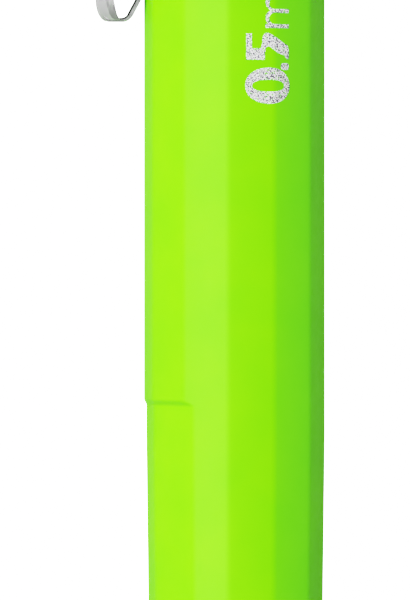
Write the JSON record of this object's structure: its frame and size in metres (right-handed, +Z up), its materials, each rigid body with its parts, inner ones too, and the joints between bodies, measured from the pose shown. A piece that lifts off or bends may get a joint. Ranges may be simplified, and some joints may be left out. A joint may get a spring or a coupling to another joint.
{
  "type": "mechanical pencil",
  "caption": "Click pencil: faceted lime barrel with a sprung pocket clip, push cap, hidden clutch that feeds a thin lead, rubber grip and metal cone tip.",
  "frame": {"origin": "on the facet the pencil rests on, straight under the barrel's axis, at the middle of the barrel's parallel stretch", "axes": "+X along the pencil towards the tip, +Z up out of the resting facet, -Y within 9 degrees of the clip"},
  "size_m": [0.1426, 0.0115, 0.0088],
  "materials": {
    "lime_plastic": "satin, moulded",
    "silver_steel": "plated sheet",
    "bright_nickel": "nickel plated",
    "satin_aluminium": "satin, turned",
    "brass": "turned",
    "spring_steel": "drawn wire",
    "black_rubber": "matt, ribbed",
    "white_rubber": "matt",
    "clear_tube": "extruded",
    "grey_plastic": "moulded",
    "graphite": "drawn lead"
  },
  "bodies": {
    "barrel_body": {"barrel": "lime_plastic", "tail_bush": "bright_nickel", "clip_band": "silver_steel", "trim_ring": "bright_nickel", "grip_sleeve": "black_rubber", "tip_cone": "satin_aluminium", "lead_retainer": "black_rubber", "clutch_sleeve": "brass", "return_spring": "spring_steel"},
    "knock": {"lead_tube": "clear_tube", "chuck_coupler": "grey_plastic", "chuck": "brass", "eraser": "white_rubber", "clean_out_needle": "spring_steel", "spare_lead_1": "graphite", "spare_lead_2": "graphite", "spare_lead_3": "graphite"},
    "push_cap_body": {"push_cap": "bright_nickel"},
    "clip": {"clip_arm": "silver_steel"},
    "clutch": {"clutch_ring": "brass"},
    "lead": {"lead_in_use": "graphite"},
    "guide": {"pipe_slider": "brass", "guide_pipe": "bright_nickel"}
  },
  "joints": [
    {"name": "push_button", "type": "slide", "parent": "barrel_body", "child": "knock", "axis": [1, 0, 0], "range_m": [0, 0.0025], "stiffness_N_per_m": 400, "springref_m": -0.002, "deforming": ["return_spring"]},
    {"name": "clutch_grip", "type": "slide", "parent": "barrel_body", "child": "clutch", "axis": [1, 0, 0], "range_m": [0, 0.0006]},
    {"name": "lead_feed", "type": "slide", "parent": "barrel_body", "child": "lead", "axis": [1, 0, 0], "range_m": [0, 0.0006]},
    {"name": "guide_retract", "type": "slide", "parent": "barrel_body", "child": "guide", "axis": [-1, 0, 0], "range_m": [0, 0.003]},
    {"name": "cap_pull", "type": "slide", "parent": "knock", "child": "push_cap_body", "axis": [-1, 0, 0], "range_m": [0, 0.0135]},
    {"name": "clip_flex", "type": "hinge", "parent": "barrel_body", "child": "clip", "pos_m": [-0.0318, -0.00448, 0.00368], "axis": [0, 0.1564, -0.9877], "range_deg": [0, 4], "stiffness_Nm_per_rad": 1.5}
  ],
  "couplings": [
    {"joint": "clutch_grip", "follows": "push_button", "ratio": 0.24},
    {"joint": "lead_feed", "follows": "push_button", "ratio": 0.24}
  ]
}
